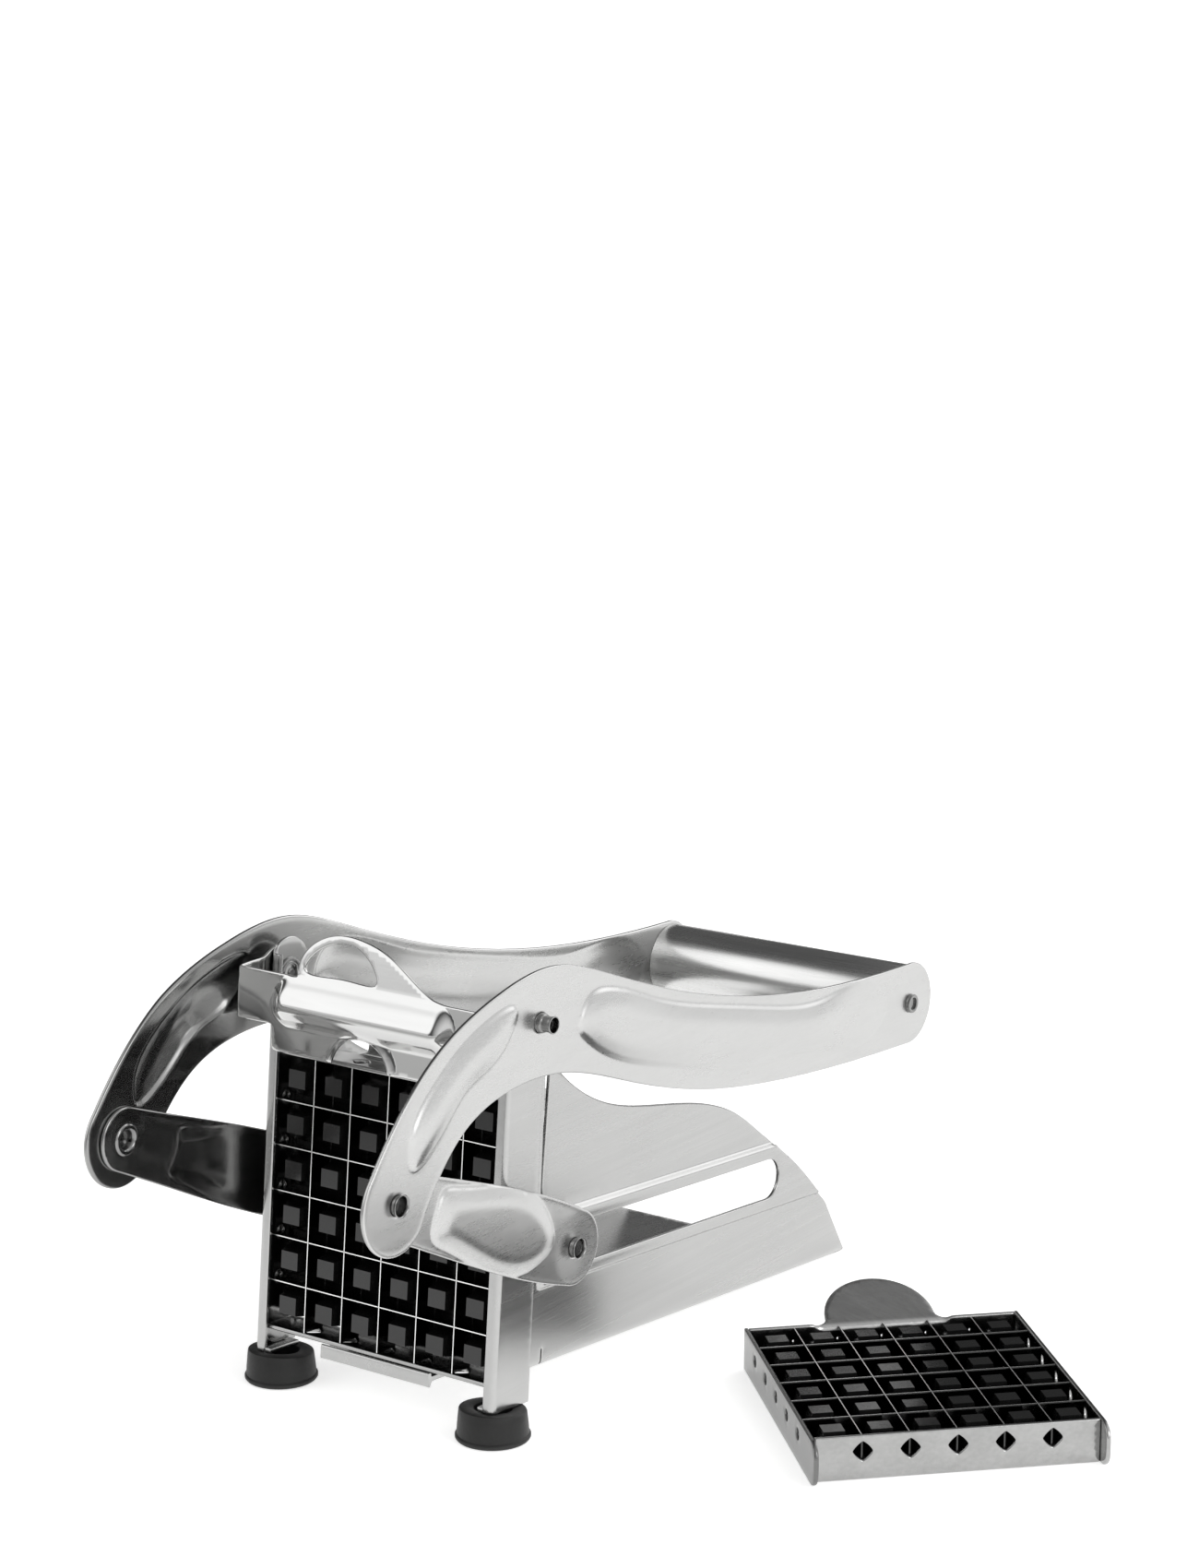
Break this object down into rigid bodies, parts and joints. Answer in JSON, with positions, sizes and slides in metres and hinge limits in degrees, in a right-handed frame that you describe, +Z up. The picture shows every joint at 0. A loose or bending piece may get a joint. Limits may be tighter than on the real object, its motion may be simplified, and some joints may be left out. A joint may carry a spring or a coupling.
{
  "type": "vegetable dicer",
  "caption": "Lever-operated vegetable dicer: steel trough, square blade grid, sliding stud pusher, twin-arm lever with tube grip, rubber feet, and a spare grid beside it.",
  "frame": {"origin": "middle of the base of the whole set, on the worktop", "axes": "+Z up, +Y from the blade grid towards the lever's grip, +X to the dicer's right side"},
  "size_m": [0.217, 0.264, 0.124],
  "materials": {
    "brushed_steel_sheet": "brushed stainless sheet",
    "polished_steel": "polished stainless sheet",
    "satin_steel": "satin stainless pressing",
    "tube_steel": "brushed stainless tube",
    "cassette_steel": "stainless strip with cut edges",
    "blade_steel": "ground thin stainless blade",
    "pin_steel": "turned stainless",
    "black_plastic": "moulded black plastic",
    "foot_rubber": "moulded dark rubber"
  },
  "bodies": {
    "frame": {"trough": "brushed_steel_sheet", "left_guide_channel": "brushed_steel_sheet", "left_foot": "foot_rubber", "right_guide_channel": "brushed_steel_sheet", "right_foot": "foot_rubber", "top_cover": "polished_steel", "left_pivot_pin": "pin_steel", "right_pivot_pin": "pin_steel", "cassette_left_plate": "cassette_steel", "cassette_right_plate": "cassette_steel", "cassette_top_strip": "cassette_steel", "cassette_bottom_strip": "cassette_steel", "vertical_blades": "blade_steel", "horizontal_blades": "blade_steel"},
    "lever": {"left_arm": "satin_steel", "left_knee_pin": "pin_steel", "right_arm": "satin_steel", "right_knee_pin": "pin_steel", "handle_tube": "tube_steel", "handle_tie_rod": "pin_steel", "handle_end_plugs": "black_plastic", "handle_screws": "pin_steel"},
    "links": {"left_link": "satin_steel", "left_slide_pin": "pin_steel", "right_link": "satin_steel", "right_slide_pin": "pin_steel"},
    "pusher": {"pusher_stud_plate": "black_plastic", "pusher_carrier": "brushed_steel_sheet", "pusher_axle": "pin_steel", "slot_bushes": "black_plastic", "guide_shoe": "black_plastic", "guide_screw": "pin_steel", "plate_screws": "pin_steel"},
    "spare_cassette": {"spare_cassette_left_plate": "cassette_steel", "spare_cassette_right_plate": "cassette_steel", "spare_cassette_top_strip": "cassette_steel", "spare_cassette_bottom_strip": "cassette_steel", "spare_vertical_blades": "blade_steel", "spare_horizontal_blades": "blade_steel", "spare_stud_plate": "black_plastic"}
  },
  "joints": [
    {"name": "lever_hinge", "type": "hinge", "parent": "frame", "child": "lever", "pos_m": [-0.06194, -0.06208, 0.10675], "axis": [1, 0, 0], "range_deg": [0, 86.47]},
    {"name": "link_hinge", "type": "hinge", "parent": "lever", "child": "links", "pos_m": [-0.06194, -0.11945, 0.07598], "axis": [1, 0, 0], "range_deg": [-72, 0]},
    {"name": "pusher_slide", "type": "slide", "parent": "frame", "child": "pusher", "axis": [0, 0.9958, -0.0917], "range_m": [0, 0.0909]},
    {"name": "spare_cassette_lift", "type": "slide", "parent": "frame", "child": "spare_cassette", "axis": [0, 0, 1], "range_m": [0, 0.12]}
  ],
  "couplings": [
    {"joint": "link_hinge", "follows": "lever_hinge", "ratio": -0.82898},
    {"joint": "pusher_slide", "follows": "lever_hinge", "m_per_rad": 0.060163}
  ]
}
